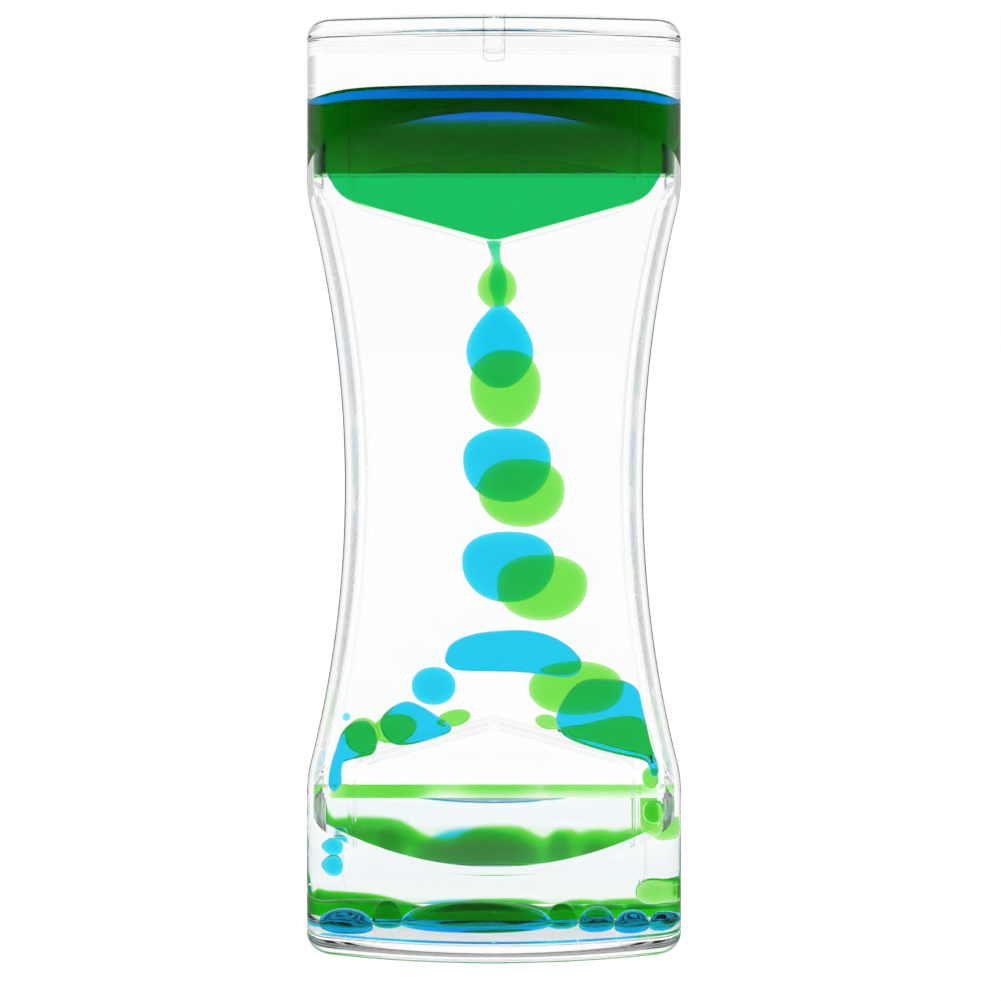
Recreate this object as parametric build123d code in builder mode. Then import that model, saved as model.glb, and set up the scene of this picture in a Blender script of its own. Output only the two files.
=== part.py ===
"""Liquid motion timer: a clear hourglass case with two sealed chambers, one behind the other.

The case is a hollow shell. Inside its waist a flat channel body with slanted ends keeps the
liquids in the middle, with air round it. Each chamber holds clear oil and a coloured water, which
drips through a funnel, falls as flat drops down a thin channel, lands on the roof of the lower
funnel and runs down two side ducts.
Millimetres, +Z up, origin at the centre of the base, front face towards -Y.
"""

import os
from math import atan2, cos, degrees, radians, sin, tan

from build123d import *

# Outside of the case
height = 143.0
width = 57.5
depth = 30.0
waist_width = 45.6
shoulder_height = 26.9  # where the straight side would meet the waist curve
shoulder_radius = 20.0
face_radius = 80.0  # plan curve of the front and back faces
edge_radius = 5.0  # upright edges
rim_radius = 3.0  # edges of the two ends

# Walls and the space inside
side_wall = 1.2
face_wall = 1.8  # front and back walls
end_wall = 3.7  # thickness of the two caps
channel_side = 3.0  # from the outside of the case to the side of the channel
channel_wall = 0.8
flare_height = 27.5  # where the sides of the channel begin to widen towards its end chamber
divider_thickness = 1.5
divider_groove = 0.4  # how far the divider enters each side wall
channel_depth = 4.85  # thin channel in front of and behind the divider
throat_height = 23.3  # where a channel opens into its end chamber
throat_angle = 52.0  # slope of that opening, above the horizontal

# Weld between the caps and the case
tongue_inset = 0.4
tongue_width = 0.4
tongue_height = 0.6

# Funnel inserts
funnel_reach = 33.9  # from the end of the case to the apex of the sloping floor
floor_angle = 15.5
pocket_corner = 4.0
pocket_rise = 23.6  # from the end of the case to where the funnel's sides run straight up
funnel_plate = 0.8
orifice_diameter = 2.3
duct_width = 2.9  # beside the funnel's edge
end_duct_width = 5.2  # in the end chamber
duct_mouth = 10.0  # from the end of the case
duct_plate = 1.2
duct_plate_lap = 0.6  # how far the duct's front plate runs into the channel

# Filler plugs in the top cap
plug_diameter = 3.2
plug_length = 5.2
plug_offset = 6.6  # from the divider, into each chamber
plug_recess = 0.2
plug_chamfer = 0.5

# Clearances
bond_gap = 0.05  # glued and welded joints
slip_gap = 0.1  # inserts in the channels
oil_film = 0.4  # oil between a drop and the channel walls
wall_film = 0.2  # oil between the settled liquids and the walls
drop_gap = 0.3  # oil round the outline of a drop

# Coloured liquids
level_below_top = 11.4
front_level_rise = 0.9  # the front liquid stands a little higher
drop_edge = 1.7  # rounding of a flat drop's rim
plump = 0.66  # end radius of a drop's outline, as a part of its half height
rim_share = 0.9  # a small drop's rim radius, as a part of its tightest bend
roof_film = 0.25  # oil under the liquid that runs down a roof
dome_round = 0.7  # edge radius of a settled drop, as a part of its height
dome_spread = 0.42  # and at most this part of its width
slot_ratio = 1.05  # a settled drop longer than this for its breadth has straight sides

margin = 10.0  # how far the construction outlines run past the ends

# Values worked out from those above
mid_height = height / 2
floor_half_width = width / 2 - side_wall
channel_half_width = width / 2 - channel_side
pocket_half_width = channel_half_width - duct_width - funnel_plate
pocket_top_half_width = floor_half_width - end_duct_width - funnel_plate
pocket_apex = height - funnel_reach
floor_slope = tan(radians(floor_angle))
duct_top = height - duct_mouth
duct_plate_foot = height - throat_height - duct_plate_lap
gap_centre = channel_half_width - duct_width / 2  # beside the funnel's edge
duct_centre = floor_half_width - end_duct_width / 2
fill_level = height - level_below_top
channel_face = divider_thickness / 2 + channel_depth
channel_middle = (divider_thickness / 2 + channel_face) / 2
duct_depth = channel_depth - slip_gap - duct_plate
duct_middle = (divider_thickness + duct_depth) / 2
drop_thickness = channel_depth - 2 * oil_film
roof_apex = funnel_reach + funnel_plate / cos(radians(floor_angle))
orifice_depth = 6 * funnel_plate  # passes the floor with room to spare

# Drops: x, z of the widest line, width, height above it, height below it, tilt in degrees
blue_falling = {
    "blue_drop_2": (2.0, mid_height + 3.8, 13.5, 4.9, 6.5, 0.0),
    "blue_drop_3": (2.2, mid_height - 11.9, 14.2, 4.6, 6.3, 0.0),
}
blue_landing = {
    "blue_drop_4": (2.8, roof_apex + 10.8, 20.7, 3.9, 3.0, -3.0),
}
yellow_falling = {
    "yellow_drop_1": (1.8, mid_height + 15.2, 11.0, 5.6, 6.6, 0.0),
    "yellow_drop_2": (4.3, mid_height - 1.2, 13.5, 4.9, 5.8, -8.0),
    "yellow_drop_3": (7.5, mid_height - 15.9, 14.1, 4.5, 5.8, 0.0),
}

# Hanging drops: outline of the blue one as (x, distance below the funnel's apex)
blue_hanging = [
    (0.9, 10.9),
    (-2.3, 13.1),
    (-4.5, 16.7),
    (-3.4, 20.5),
    (0.9, 23.2),
    (5.2, 20.5),
    (6.3, 16.7),
    (4.1, 13.1),
]
hanging_corner = 2.5
yellow_hanging = (0.5, pocket_apex - 6.9, 6.2, 3.6, 3.6)

# Their threads: place of the thread, then (radius, distance below the funnel's apex)
blue_neck = 0.15
blue_thread = [(0.9, 0.0), (0.55, 3.4), (1.2, 6.7), (0.7, 9.5), (1.1, 13.1)]
yellow_neck = 0.1
yellow_thread = [(0.9, 0.0), (0.65, 2.5), (0.9, 6.1)]

# Liquid on the lower roofs: (place, height above the roof), where place 0 is the middle,
# 1 the funnel's edge and 2 the side of the channel
blue_left_run = [
    (-0.78, 1.6),
    (-0.69, 6.0),
    (-0.58, 6.5),
    (-0.43, 4.1),
    (-0.29, 1.1),
    (-0.44, roof_film),
    (-0.66, roof_film),
]
left_run_corner = 1.5
left_run_rim = 1.4
blue_wall_run = [
    (-1.28, 7.2),
    (-0.985, 6.0),
    (-0.84, 2.0),
    (-0.85, roof_film),
    (-1.12, roof_film),
    (-1.7, 1.0),
]
wall_run_corner = 1.0
wall_run_rim = 0.8
blue_right_run = [
    (0.42, roof_film),
    (0.46, 4.6),
    (0.63, 9.9),
    (0.85, 12.0),
    (1.16, 11.3),
    (1.68, 2.0),
    (1.12, roof_film),
]
right_run_corner = 1.5
right_run_rim = 1.2
yellow_right_run = [
    (0.47, 0.9),
    (0.605, 3.0),
    (0.83, 4.7),
    (1.2, 5.6),
    (1.57, 3.6),
    (1.45, 1.3),
    (1.06, roof_film),
    (0.72, roof_film),
]
yellow_run_corner = 1.2
yellow_run_rim = 1.0

# Drops about to land, and small ones lying on the rear roof: place, height above the roof,
# then as for the others
blue_over_roof = {"blue_small_drop": (-0.42, 8.2, 6.8, 2.9, 2.9, 10.0)}
yellow_over_roof = {"yellow_drop_4": (0.58, 8.1, 14.8, 4.1, 4.2, -6.0)}
yellow_left_roof = [
    (-0.93, 3.5, 5.0, 2.8, 2.7, 8.0),
    (-0.7, 3.2, 6.6, 2.4, 2.3, 10.0),
    (-0.29, 1.6, 5.4, 1.2, 1.2, 12.0),
]
yellow_right_roof = [(0.38, 1.5, 3.8, 1.1, 1.1, -12.0)]

# Beads in the channels and in the ducts: x, z, radius
gap_bead = 0.36 * duct_width
duct_bead = 0.42 * duct_depth
blue_left_bead = [(-gap_centre, 27.4, gap_bead)]
blue_right_bead = [(gap_centre, 27.4, gap_bead)]
yellow_right_bead = [(gap_centre, 27.6, gap_bead)]
blue_duct_beads = [(-duct_centre, 17.2, duct_bead), (-duct_centre, 13.4, duct_bead)]
yellow_duct_beads = [(duct_centre, 17.4, duct_bead)]

# Drops settled on the floor: x and length as parts of the floor's half width,
# distance from the divider, breadth, height. The yellow ones have run together at the foot.
blue_puddles = [
    (-0.823, 0.28, 4.9, 6.4, 3.6),
    (-0.579, 0.163, 5.6, 4.2, 4.2),
    (-0.097, 0.753, 6.6, 10.4, 5.0),
    (0.388, 0.179, 5.2, 4.6, 4.2),
    (0.59, 0.194, 6.0, 5.0, 3.9),
    (0.796, 0.186, 5.2, 4.8, 3.6),
    (0.944, 0.085, 4.2, 2.2, 2.4),
]
yellow_puddles = [
    (0.0, 1.97, 5.15, 8.2, 3.2),
    (-0.683, 0.559, 4.9, 7.4, 5.0),
    (-0.311, 0.14, 4.6, 3.6, 3.2),
    (0.008, 0.458, 6.3, 10.2, 5.2),
    (0.35, 0.171, 5.4, 4.4, 4.3),
    (0.555, 0.202, 5.2, 5.2, 4.2),
    (0.812, 0.272, 4.9, 6.6, 4.4),
]


def roof(x):
    """Height of the lower funnel's roof at x."""
    return roof_apex - floor_slope * abs(x)


def across(place):
    """x of a place: 0 is the middle, 1 the funnel's edge, 2 the side of the channel."""
    inside = min(abs(place), 1)
    beyond = max(abs(place) - 1, 0)
    reach = pocket_half_width * inside + (channel_half_width - pocket_half_width) * beyond
    return reach if place > 0 else -reach


def roof_drop(place, above, *shape):
    """Drop at a height above the lower roof."""
    return (across(place), roof(across(place)) + above, *shape)


blue_landing |= {name: roof_drop(*shape) for name, shape in blue_over_roof.items()}
yellow_landing = {name: roof_drop(*shape) for name, shape in yellow_over_roof.items()}
yellow_left_drops = [roof_drop(*shape) for shape in yellow_left_roof]
yellow_right_drops = [roof_drop(*shape) for shape in yellow_right_roof]


# Construction outlines


def side_outline(inset=0.0):
    """Hourglass seen from the front, running past both ends, moved in by inset."""
    with BuildSketch(Plane.XZ) as face:
        with BuildLine():
            Line((width / 2, -margin), (width / 2, shoulder_height))
            ThreePointArc(
                (width / 2, shoulder_height),
                (waist_width / 2, mid_height),
                (width / 2, height - shoulder_height),
            )
            Line((width / 2, height - shoulder_height), (width / 2, height + margin))
            mirror(about=Plane.YZ)
            Line((-width / 2, -margin), (width / 2, -margin))
            Line((-width / 2, height + margin), (width / 2, height + margin))
        make_face()
        rows = face.vertices().group_by(Axis.Y)
        fillet(rows[1] + rows[2], shoulder_radius)
        if inset:
            offset(amount=-inset)
    return face.sketch


def plan_lens(inset=0.0):
    """The space between the curved front and back faces, seen from above."""
    with BuildSketch() as face:
        with Locations((0, face_radius - depth / 2)):
            Circle(face_radius - inset)
        with Locations((0, depth / 2 - face_radius)):
            Circle(face_radius - inset, mode=Mode.INTERSECT)
    return face.sketch


def end_outline(inset=0.0):
    """Section of the straight ends, seen from above, with its rounded corners."""
    with BuildSketch() as face:
        add(plan_lens(inset))
        Rectangle(width - 2 * inset, depth, mode=Mode.INTERSECT)
        fillet(face.vertices(), edge_radius - inset)
    return face.sketch


def flares(inset=0.0):
    """The widening ends of the channel, seen from the front."""
    slope = tan(radians(throat_angle))
    foot, reach = channel_half_width - margin, channel_half_width + margin
    with BuildSketch(Plane.XZ) as face:
        for end, up in ((height, 1), (0, -1)):
            start = end - up * flare_height
            with BuildLine():
                Polyline(
                    (foot, start - up * margin * slope),
                    (reach, start + up * margin * slope),
                    (reach, end + up * margin),
                    (-reach, end + up * margin),
                    (-reach, start + up * margin * slope),
                    (-foot, start - up * margin * slope),
                    close=True,
                )
            make_face()
        if inset:
            offset(amount=-inset)
    return face.sketch


def channel_block(inset=0.0):
    """Everything between the sides of the channel and of its widening ends."""
    with BuildPart() as block:
        extrude(side_outline(channel_side + inset), amount=depth, both=True)
        extrude(flares(inset), amount=depth, both=True)
    return block.part


def chamber_profile(inset=0.0):
    """The front chamber seen from the side: two deep ends and a thin channel along the divider."""
    drop_to_face = (depth / 2 - channel_face) * tan(radians(throat_angle))
    with BuildSketch(Plane.YZ) as face:
        with BuildLine():
            Polyline(
                (-divider_thickness / 2, end_wall),
                (-depth / 2, end_wall),
                (-depth / 2, throat_height - drop_to_face),
                (-channel_face, throat_height),
                (-channel_face, height - throat_height),
                (-depth / 2, height - throat_height + drop_to_face),
                (-depth / 2, height - end_wall),
                (-divider_thickness / 2, height - end_wall),
                close=True,
            )
        make_face()
        if inset:
            offset(amount=-inset)
    return face.sketch


def waisted_block(side, face, edge):
    """The hourglass of the case, moved in at its sides and faces, with round upright edges."""
    with BuildPart() as block:
        extrude(side_outline(side), amount=depth, both=True)
        extrude(plan_lens(face), amount=height, mode=Mode.INTERSECT)
        upright = block.edges().filter_by(Axis.Y, reverse=True).group_by(Axis.Z)[1:-1]
        fillet([line for row in upright for line in row], edge)
    return block.part


def between_caps(part):
    """What lies between the two caps."""
    with BuildPart() as middle:
        add(part)
        split(bisect_by=Plane.XY.offset(end_wall), keep=Keep.TOP)
        split(bisect_by=Plane.XY.offset(height - end_wall), keep=Keep.BOTTOM)
    return middle.part


def case_inside(inset=0.0):
    """The space inside the shell of the case."""
    block = waisted_block(side_wall + inset, face_wall + inset, edge_radius - side_wall - inset)
    return between_caps(block)


def chamber(inset=0.0):
    """The front chamber: what its profile and the channel's outline leave of the space in the case."""
    with BuildPart() as space:
        extrude(chamber_profile(inset), amount=width, both=True)
        add(channel_block(inset), mode=Mode.INTERSECT)
        add(case_inside(inset), mode=Mode.INTERSECT)
    return space.part


def divider_sheet(inset=0.0):
    """The sheet between the two chambers, let into the walls on both sides."""
    with BuildPart() as sheet:
        edge = side_outline(side_wall + inset - divider_groove)
        extrude(edge, amount=divider_thickness / 2 - inset, both=True)
        add(channel_block(inset - divider_groove), mode=Mode.INTERSECT)
    return sheet.part


def pocket_outline(grow=0.0):
    """The hollow of the upper funnel seen from the front."""
    floor_end = pocket_apex + floor_slope * pocket_half_width
    with BuildSketch(Plane.XZ) as face:
        with BuildLine():
            Polyline(
                (0, pocket_apex),
                (pocket_half_width, floor_end),
                (pocket_top_half_width, height - pocket_rise),
                (pocket_top_half_width, height + margin),
                (-pocket_top_half_width, height + margin),
                (-pocket_top_half_width, height - pocket_rise),
                (-pocket_half_width, floor_end),
                close=True,
            )
        make_face()
        fillet(face.vertices().group_by(Axis.Y)[1], pocket_corner)
        if grow:
            offset(amount=grow)
    return face.sketch


def to_rear(part):
    """The same piece in the rear chamber."""
    return mirror(part, about=Plane.XZ, mode=Mode.PRIVATE)


def to_lower_end(part):
    """The same piece at the lower end of the case."""
    return mirror(part, about=Plane.XY.offset(mid_height), mode=Mode.PRIVATE)


# The clear case, its two caps and the channel body inside it

with BuildPart() as envelope:
    add(waisted_block(0, 0, edge_radius))
    ends = envelope.edges().group_by(Axis.Z)
    fillet(ends[0] + ends[-1], rim_radius)

with BuildPart() as case:
    add(between_caps(envelope.part))
    add(case_inside(), mode=Mode.SUBTRACT)
    add(divider_sheet(), mode=Mode.SUBTRACT)
    for end in (end_wall, height - end_wall):
        with BuildSketch(Plane.XY.offset(end)):
            add(end_outline(tongue_inset - bond_gap))
            add(end_outline(tongue_inset + tongue_width + bond_gap), mode=Mode.SUBTRACT)
        extrude(amount=tongue_height + bond_gap, both=True, mode=Mode.SUBTRACT)
case.part.label = "case"

with BuildPart() as bottom_cap:
    add(envelope.part)
    split(bisect_by=Plane.XY.offset(end_wall), keep=Keep.BOTTOM)
    with BuildSketch(Plane.XY.offset(end_wall)):
        add(end_outline(tongue_inset))
        add(end_outline(tongue_inset + tongue_width), mode=Mode.SUBTRACT)
    extrude(amount=tongue_height)
bottom_cap.part.label = "bottom_cap"

with BuildPart() as top_cap:
    add(to_lower_end(bottom_cap.part))
    with Locations((0, plug_offset, height), (0, -plug_offset, height)):
        Hole(radius=plug_diameter / 2 + bond_gap, depth=end_wall)
top_cap.part.label = "top_cap"

with BuildPart() as front_plug:
    with Locations((0, -plug_offset, height - plug_recess)):
        Cylinder(plug_diameter / 2, plug_length, align=(Align.CENTER, Align.CENTER, Align.MAX))
    tip = front_plug.faces().sort_by(Axis.Z)[0]
    chamfer(tip.edges(), plug_chamfer)
front_plug.part.label = "front_filler_plug"

with BuildPart() as rear_plug:
    add(to_rear(front_plug.part))
rear_plug.part.label = "rear_filler_plug"

with BuildPart() as channel_body:
    extrude(chamber_profile(-channel_wall), amount=width, both=True)
    mirror(about=Plane.XZ)
    add(channel_block(-channel_wall), mode=Mode.INTERSECT)
    add(case_inside(bond_gap), mode=Mode.INTERSECT)
    add(chamber(), mode=Mode.SUBTRACT)
    add(to_rear(chamber()), mode=Mode.SUBTRACT)
    add(divider_sheet(), mode=Mode.SUBTRACT)
channel_body.part.label = "channel_body"

with BuildPart() as divider:
    add(divider_sheet(bond_gap))
    split(bisect_by=Plane.XY.offset(end_wall + bond_gap), keep=Keep.TOP)
    split(bisect_by=Plane.XY.offset(height - end_wall - bond_gap), keep=Keep.BOTTOM)
divider.part.label = "divider"

# Funnel inserts: a sloping floor with its orifice, and a duct up each side


def duct_face(forward):
    """Front plates of the two side ducts, seen from the front, before the hollow is cut out."""
    with BuildSketch(Plane.XZ.offset(forward)) as face:
        with Locations((0, (duct_plate_foot + duct_top) / 2)):
            Rectangle(width, duct_top - duct_plate_foot)
    return face.sketch


with BuildPart() as upper_front_funnel:
    extrude(pocket_outline(funnel_plate), amount=channel_face - slip_gap)
    extrude(duct_face(channel_face - slip_gap - duct_plate), amount=duct_plate)
    extrude(pocket_outline(), amount=channel_face, mode=Mode.SUBTRACT)
    split(bisect_by=Plane.XY.offset(duct_top), keep=Keep.BOTTOM)
    add(chamber(slip_gap), mode=Mode.INTERSECT)
    with Locations((0, -channel_middle, pocket_apex)):
        Cylinder(orifice_diameter / 2, orifice_depth, mode=Mode.SUBTRACT)
upper_front_funnel.part.label = "upper_front_funnel"

with BuildPart() as lower_front_funnel:
    add(to_lower_end(upper_front_funnel.part))
lower_front_funnel.part.label = "lower_front_funnel"

with BuildPart() as upper_rear_funnel:
    add(to_rear(upper_front_funnel.part))
upper_rear_funnel.part.label = "upper_rear_funnel"

with BuildPart() as lower_rear_funnel:
    add(to_rear(lower_front_funnel.part))
lower_rear_funnel.part.label = "lower_rear_funnel"

# Coloured liquid still in the upper end


def upper_liquid(level, film=0.0):
    """Liquid between the funnel floor and its level, in front of the ducts higher up."""
    clear_of_ducts = channel_face + film
    with BuildPart() as pool:
        extrude(pocket_outline(-film), amount=depth)
        with Locations((0, -clear_of_ducts, throat_height)):
            Box(width, depth, height, align=(Align.CENTER, Align.MAX, Align.MIN))
        add(chamber(film), mode=Mode.INTERSECT)
        split(bisect_by=Plane.XY.offset(level), keep=Keep.BOTTOM)
        split(bisect_by=Plane.XY.offset(mid_height), keep=Keep.TOP)
    return pool.part


with BuildPart() as blue_reservoir:
    add(upper_liquid(fill_level + front_level_rise, wall_film))
blue_reservoir.part.label = "blue_reservoir"

with BuildPart() as yellow_reservoir:
    add(to_rear(upper_liquid(fill_level, wall_film)))
yellow_reservoir.part.label = "yellow_reservoir"

# Flat drops in the thin channels


def oval(x, z, span, rise, sag, tilt=0.0, grow=0.0):
    """Drop outline of six tangent arcs, with its own height above and below its widest line."""
    half = span / 2 + grow
    lean = radians(tilt)
    with BuildSketch(Plane.XZ.offset(channel_middle)) as face:
        with BuildLine():
            for tall, sign in ((rise + grow, 1), (sag + grow, -1)):
                tight = plump * min(half, tall)
                long, short = max(half, tall), min(half, tall)
                wide = ((long - tight) ** 2 + short**2 - tight**2) / (2 * (short - tight))
                flank, crown = (tight, wide) if tall < half else (wide, tight)
                turn = degrees(atan2(abs(tall - crown), abs(half - flank)))
                first = tilt + 90 - 90 * sign
                for side, up, radius, begin, arc in (
                    (sign * (half - flank), 0, flank, 0, turn),
                    (0, sign * (tall - crown), crown, turn, 180 - 2 * turn),
                    (-sign * (half - flank), 0, flank, 180 - turn, turn),
                ):
                    centre = (x + side * cos(lean) - up * sin(lean), z + side * sin(lean) + up * cos(lean))
                    CenterArc(centre, radius, first + begin, arc)
        make_face()
    return face.sketch


def hanging(points):
    """Outline points below the funnel's apex."""
    return [(x, pocket_apex - below) for x, below in points]


def on_roof(points):
    """Outline points above the lower roof."""
    return [(across(place), roof(across(place)) + above) for place, above in points]


def blob(points, corner, grow=0.0):
    """Rounded outline through a few corners, in the middle of the front channel."""
    with BuildSketch(Plane.XZ.offset(channel_middle)) as face:
        with BuildLine():
            Polyline(*points, close=True)
        make_face()
        fillet(face.vertices(), corner)
        if grow:
            offset(amount=grow)
    return face.sketch


def pancake(outline, rim=drop_edge):
    """A flat drop with a rounded rim, held between the two walls of a channel."""
    with BuildPart() as drop:
        extrude(outline, amount=drop_thickness / 2, both=True)
        fillet(drop.faces().filter_by(Axis.Y).edges(), rim)
    return drop.part


def oval_drop(shape):
    """A flat oval drop, its rim as round as its tightest bend allows."""
    span, rise, sag = shape[2:5]
    tightest = plump * min(span / 2, rise, sag)
    return pancake(oval(*shape), min(drop_edge, rim_share * tightest))


def beads(places, middle=channel_middle):
    """Small round drops at (x, z, radius), their centres at middle in front of the divider."""
    with BuildPart() as row:
        for x, z, radius in places:
            with Locations((x, -middle, z)):
                Sphere(radius)
    return row.part


def bead_rooms(places, grow, middle=channel_middle, deep=channel_depth):
    """Room for beads in the oil, straight through a channel or a duct."""
    with BuildPart() as row:
        for x, z, radius in places:
            with Locations(Location((x, -middle, z), (90, 0, 0))):
                Cylinder(radius + grow, deep)
    return row.part


def slot_through(outlines):
    """Room for drops in the oil, straight through a front channel."""
    with BuildPart() as room:
        for outline in outlines:
            extrude(outline, amount=channel_depth, both=True)
        with Locations((0, -channel_middle, 0)):
            Box(width, channel_depth, 2 * height, mode=Mode.INTERSECT)
    return room.part


def thread(x, rings):
    """The liquid hanging from an orifice: a round thread through its rings."""
    with BuildPart() as neck:
        with BuildSketch(Plane.XZ.offset(channel_middle)):
            with BuildLine():
                flank = [(x + radius, pocket_apex - below) for radius, below in rings]
                Spline(*flank)
                Polyline(flank[-1], (x, flank[-1][1]), (x, flank[0][1]), flank[0])
            make_face()
        revolve(axis=Axis((x, -channel_middle, 0), (0, 0, 1)))
    return neck.part


# Falling and landing drops

drops = []
for name, shape in (blue_falling | blue_landing).items():
    with BuildPart() as drop:
        add(oval_drop(shape))
    drop.part.label = name
    drops.append(drop.part)
for name, shape in (yellow_falling | yellow_landing).items():
    with BuildPart() as drop:
        add(to_rear(oval_drop(shape)))
    drop.part.label = name
    drops.append(drop.part)

# Drops still hanging from the orifices

with BuildPart() as blue_pendant_drop:
    add(pancake(blob(hanging(blue_hanging), hanging_corner)))
    add(thread(blue_neck, blue_thread))
blue_pendant_drop.part.label = "blue_pendant_drop"

with BuildPart() as yellow_pendant_drop:
    add(to_rear(oval_drop(yellow_hanging)))
    add(to_rear(thread(yellow_neck, yellow_thread)))
yellow_pendant_drop.part.label = "yellow_pendant_drop"

# Liquid that has landed on the lower roofs and runs into the ducts

with BuildPart() as blue_left_runoff:
    add(pancake(blob(on_roof(blue_left_run), left_run_corner), left_run_rim))
blue_left_runoff.part.label = "blue_left_runoff"

with BuildPart() as blue_wall_runoff:
    add(pancake(blob(on_roof(blue_wall_run), wall_run_corner), wall_run_rim))
    add(beads(blue_left_bead))
blue_wall_runoff.part.label = "blue_wall_runoff"

with BuildPart() as blue_right_runoff:
    add(pancake(blob(on_roof(blue_right_run), right_run_corner), right_run_rim))
    add(beads(blue_right_bead))
blue_right_runoff.part.label = "blue_right_runoff"

with BuildPart() as yellow_left_runoff:
    for shape in yellow_left_drops:
        add(to_rear(oval_drop(shape)))
yellow_left_runoff.part.label = "yellow_left_runoff"

with BuildPart() as yellow_right_runoff:
    add(to_rear(pancake(blob(on_roof(yellow_right_run), yellow_run_corner), yellow_run_rim)))
    for shape in yellow_right_drops:
        add(to_rear(oval_drop(shape)))
    add(to_rear(beads(yellow_right_bead)))
yellow_right_runoff.part.label = "yellow_right_runoff"

# Beads on their way down the ducts

with BuildPart() as blue_duct_drops:
    add(beads(blue_duct_beads, duct_middle))
blue_duct_drops.part.label = "blue_duct_drops"

with BuildPart() as yellow_duct_drops:
    add(to_rear(beads(yellow_duct_beads, duct_middle)))
yellow_duct_drops.part.label = "yellow_duct_drops"

# Drops settled on the floor of the lower end


def puddle(place, share, back, breadth, tall, grow=0.0):
    """One domed drop lying on the floor of the front chamber."""
    length = share * floor_half_width
    with BuildPart() as dome:
        with BuildSketch(Plane.XY.offset(end_wall + wall_film - grow)):
            with Locations((place * floor_half_width, -back)):
                if length > slot_ratio * breadth:
                    SlotOverall(length + 2 * grow, breadth + 2 * grow)
                else:
                    Circle(min(length, breadth) / 2 + grow)
        extrude(amount=tall + 2 * grow)
        crown = dome.faces().sort_by(Axis.Z)[-1]
        fillet(crown.edges(), min(dome_round * tall, dome_spread * min(length, breadth)))
    return dome.part


def settled(puddles, grow=0.0):
    """The domed drops side by side on the floor."""
    with BuildPart() as floor:
        for shape in puddles:
            add(puddle(*shape, grow))
    return floor.part


with BuildPart() as blue_settled_drops:
    add(settled(blue_puddles))
blue_settled_drops.part.label = "blue_settled_drops"

with BuildPart() as yellow_settled_drops:
    add(to_rear(settled(yellow_puddles)))
yellow_settled_drops.part.label = "yellow_settled_drops"

# Clear oil round everything in each chamber

blue_rooms = [oval(*shape, grow=drop_gap) for shape in (blue_falling | blue_landing).values()]
blue_rooms += [
    blob(hanging(blue_hanging), hanging_corner, drop_gap),
    blob(on_roof(blue_left_run), left_run_corner, drop_gap),
    blob(on_roof(blue_wall_run), wall_run_corner, drop_gap),
    blob(on_roof(blue_right_run), right_run_corner, drop_gap),
]
yellow_rooms = [oval(*shape, grow=drop_gap) for shape in (yellow_falling | yellow_landing).values()]
yellow_rooms += [oval(*shape, grow=drop_gap) for shape in yellow_left_drops + yellow_right_drops]
yellow_rooms += [
    oval(*yellow_hanging, grow=drop_gap),
    blob(on_roof(yellow_right_run), yellow_run_corner, drop_gap),
]


def oil(level, rooms, rings, neck, puddles, channel_beads, duct_beads):
    """The front chamber less the inserts, the plug and the room that the liquids take."""
    wide_neck = [(radius + drop_gap, z) for radius, z in rings]
    with BuildPart() as filling:
        add(chamber())
        for insert in (upper_front_funnel, lower_front_funnel, front_plug):
            add(insert.part, mode=Mode.SUBTRACT)
        add(upper_liquid(level + wall_film), mode=Mode.SUBTRACT)
        add(slot_through(rooms), mode=Mode.SUBTRACT)
        add(thread(neck, wide_neck), mode=Mode.SUBTRACT)
        with Locations((0, -channel_middle, pocket_apex)):
            Cylinder(orifice_diameter / 2, orifice_depth, mode=Mode.SUBTRACT)
        add(settled(puddles, wall_film), mode=Mode.SUBTRACT)
        add(bead_rooms(channel_beads, drop_gap), mode=Mode.SUBTRACT)
        add(bead_rooms(duct_beads, wall_film, duct_middle, duct_depth), mode=Mode.SUBTRACT)
    return filling.part


with BuildPart() as front_oil:
    add(
        oil(
            fill_level + front_level_rise,
            blue_rooms,
            blue_thread,
            blue_neck,
            blue_puddles,
            blue_left_bead + blue_right_bead,
            blue_duct_beads,
        )
    )
front_oil.part.label = "front_oil"

with BuildPart() as rear_oil:
    filling = oil(
        fill_level,
        yellow_rooms,
        yellow_thread,
        yellow_neck,
        yellow_puddles,
        yellow_right_bead,
        yellow_duct_beads,
    )
    add(to_rear(filling))
rear_oil.part.label = "rear_oil"

os.makedirs("parts", exist_ok=True)
built = [
    case,
    top_cap,
    bottom_cap,
    front_plug,
    rear_plug,
    channel_body,
    divider,
    upper_front_funnel,
    upper_rear_funnel,
    lower_front_funnel,
    lower_rear_funnel,
    blue_reservoir,
    yellow_reservoir,
    blue_pendant_drop,
    yellow_pendant_drop,
    blue_left_runoff,
    blue_wall_runoff,
    blue_right_runoff,
    yellow_left_runoff,
    yellow_right_runoff,
    blue_duct_drops,
    yellow_duct_drops,
    blue_settled_drops,
    yellow_settled_drops,
    front_oil,
    rear_oil,
]
for solid in [piece.part for piece in built] + drops:
    export_step(solid, f"parts/{solid.label}.step")
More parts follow.
